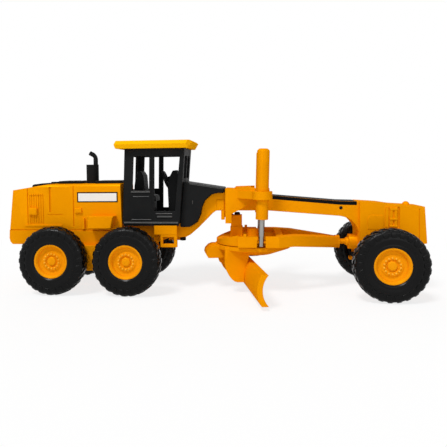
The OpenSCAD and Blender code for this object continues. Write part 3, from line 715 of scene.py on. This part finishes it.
def make_cab_ledges():
    """Moulded sills in the pale grey of painted highlight, a skirt and a door rib on the cab's sides."""
    skirt_out = (CAB_SIDE - 1.0, CAB_SIDE)
    rib_out = (CAB_SIDE - 0.2, CAB_SIDE + 0.12)
    for side, sign in SIDES.items():
        parts = [ledge(*sill, sign) for sill in CAB_SILLS]
        fit_on(joined(parts, "cab_ledges_" + side), "machine", HIGHLIGHT_GREY_BLACK, "black_plastic")
        skirt = side_bar("cab_skirt_" + side, sign, (-37.3, -13.2), skirt_out, (28.1, 29.1), edge=0.15)
        fit_on(skirt, "machine", BLACK_PLASTIC, "black_plastic")
        rib = side_bar("cab_post_rib_" + side, sign, (-25.1, -24.7), rib_out, (30.0, 60.0), edge=0.1)
        fit_on(rib, "machine", BLACK_PLASTIC, "black_plastic")


def make_front_panels():
    """Embossed panel on the front block's sides."""
    for side, sign in SIDES.items():
        y = sign * (BLOCK_SIDE - 0.1)
        outline = [(64.4, y, 26.4), (70.4, y, 26.4), (70.4, y, 32.0), (65.6, y, 32.4), (64.4, y, 30.8)]
        panel = plate("front_panel_" + side, outline, (0, sign * 0.3, 0), edge=0.12)
        fit_on(panel, "machine", BODY_ENAMEL, "body_paint")


# Camera, floor and light

WHITE = (1.0, 1.0, 1.0, 1.0)


def aim(thing, target):
    """Turns a camera or lamp to look at a point."""
    way = Vector(target) - thing.location
    thing.rotation_euler = way.to_track_quat("-Z", "Y").to_euler()


def set_camera():
    """The photograph's side view from roof height, with the frame taken as 447 by 447."""
    frame_px = 447.0
    focal_px = 494.3
    sensor_mm = 36.0
    middle_px = (192.0, 190.0)
    yaw = math.radians(-6.88)
    pitch = math.radians(-2.43)
    roll = math.radians(0.66)
    place = Vector((17.2, -216.8, 52.0)) * MM
    way = Vector((math.sin(yaw) * math.cos(pitch), math.cos(yaw) * math.cos(pitch), math.sin(pitch)))
    bpy.ops.object.camera_add(location=place)
    camera = bpy.context.object
    camera.name = "photo_camera"
    aim(camera, place + way)
    bpy.ops.transform.rotate(value=roll, orient_axis="Z", orient_type="LOCAL")
    camera.data.sensor_width = sensor_mm
    camera.data.sensor_fit = "HORIZONTAL"
    camera.data.lens = focal_px * sensor_mm / frame_px
    camera.data.shift_x = (frame_px / 2 - middle_px[0]) / frame_px
    camera.data.shift_y = (middle_px[1] - frame_px / 2) / frame_px
    camera.data.clip_start = 0.005
    camera.data.clip_end = 20.0
    camera.data.dof.use_dof = False
    bpy.context.scene.camera = camera


def add_softbox(name, place, target, size, power):
    bpy.ops.object.light_add(type="AREA", location=place)
    lamp = bpy.context.object
    lamp.name = name
    lamp.data.shape = "SQUARE"
    lamp.data.size = size
    lamp.data.energy = power
    aim(lamp, target)


def add_sun(name, place, strength, spread):
    """An even light over the whole floor, from the direction of a place."""
    bpy.ops.object.light_add(type="SUN", location=place)
    lamp = bpy.context.object
    lamp.name = name
    lamp.data.energy = strength
    lamp.data.angle = math.radians(spread)
    aim(lamp, (0.0, 0.0, 0.0))


def set_light():
    middle = (0.0, 0.0, 0.03)
    add_sun("key_light", (-0.2, -0.36, 0.6), strength=2.1, spread=16)
    add_softbox("front_softbox", (0.3, -0.7, 0.4), middle, size=0.4, power=0.8)
    add_softbox("back_softbox", (-0.2, 0.6, 0.45), middle, size=0.5, power=0.6)


def plainly_seen(nodes, links):
    """1 for what the camera, a shiny surface or a clear one looks at, and 0 for light on the model."""
    path = nodes.new("ShaderNodeLightPath")
    seen = path.outputs["Is Camera Ray"]
    for kind in ("Is Glossy Ray", "Is Transmission Ray"):
        either = nodes.new("ShaderNodeMath")
        either.operation = "MAXIMUM"
        links.new(seen, either.inputs[0])
        links.new(path.outputs[kind], either.inputs[1])
        seen = either.outputs["Value"]
    return seen


def set_world():
    """Soft even light on the model, in front of plain white surroundings."""
    world = bpy.data.worlds.new("studio_white")
    bpy.context.scene.world = world
    world.use_nodes = True
    nodes = world.node_tree.nodes
    links = world.node_tree.links
    nodes.clear()
    out = nodes.new("ShaderNodeOutputWorld")
    mix = nodes.new("ShaderNodeMixShader")
    soft = nodes.new("ShaderNodeBackground")
    white = nodes.new("ShaderNodeBackground")
    soft.inputs["Color"].default_value = WHITE
    soft.inputs["Strength"].default_value = 0.36
    white.inputs["Color"].default_value = WHITE
    white.inputs["Strength"].default_value = 1.0
    links.new(plainly_seen(nodes, links), mix.inputs["Fac"])
    links.new(soft.outputs["Background"], mix.inputs[1])
    links.new(white.outputs["Background"], mix.inputs[2])
    links.new(mix.outputs["Shader"], out.inputs["Surface"])


def set_floor():
    """A white floor that keeps the shadow and fades to plain white away from the model."""
    bpy.ops.mesh.primitive_plane_add(size=8.0, location=(0.0, 0.0, 0.0))
    floor = bpy.context.object
    floor.name = "studio_floor"
    material, nodes, links, shader = new_finish("studio_floor_white")
    shader.inputs["Base Color"].default_value = (0.97, 0.97, 0.97, 1.0)
    shader.inputs["Roughness"].default_value = 0.9
    shader.inputs["Specular IOR Level"].default_value = 0.05
    glow = nodes.new("ShaderNodeEmission")
    glow.inputs["Color"].default_value = WHITE
    glow.inputs["Strength"].default_value = 1.0
    place = nodes.new("ShaderNodeTexCoord")
    length = nodes.new("ShaderNodeVectorMath")
    length.operation = "LENGTH"
    links.new(place.outputs["Object"], length.inputs[0])
    distance = length.outputs["Value"]
    fade = to_range(nodes, links, distance, 0.78, 1.0, from_low=0.09, from_high=0.2)
    shown = nodes.new("ShaderNodeMath")
    shown.operation = "MULTIPLY"
    links.new(fade, shown.inputs[0])
    links.new(plainly_seen(nodes, links), shown.inputs[1])
    mix = nodes.new("ShaderNodeMixShader")
    links.new(shown.outputs["Value"], mix.inputs["Fac"])
    links.new(shader.outputs["BSDF"], mix.inputs[1])
    links.new(glow.outputs["Emission"], mix.inputs[2])
    links.new(mix.outputs["Shader"], nodes["Material Output"].inputs["Surface"])
    floor.data.materials.append(material)


bpy.context.scene.view_settings.view_transform = "Standard"
put_down()
set_camera()
set_light()
set_world()
set_floor()
make_castings()
make_wheels()
make_labels()
make_beam_bands()
make_hood_fittings()
make_rear_grille()
make_hinge_knuckles()
make_neck_fittings()
make_chassis_screw()
make_post_cap()
make_cab_ledges()
make_front_panels()
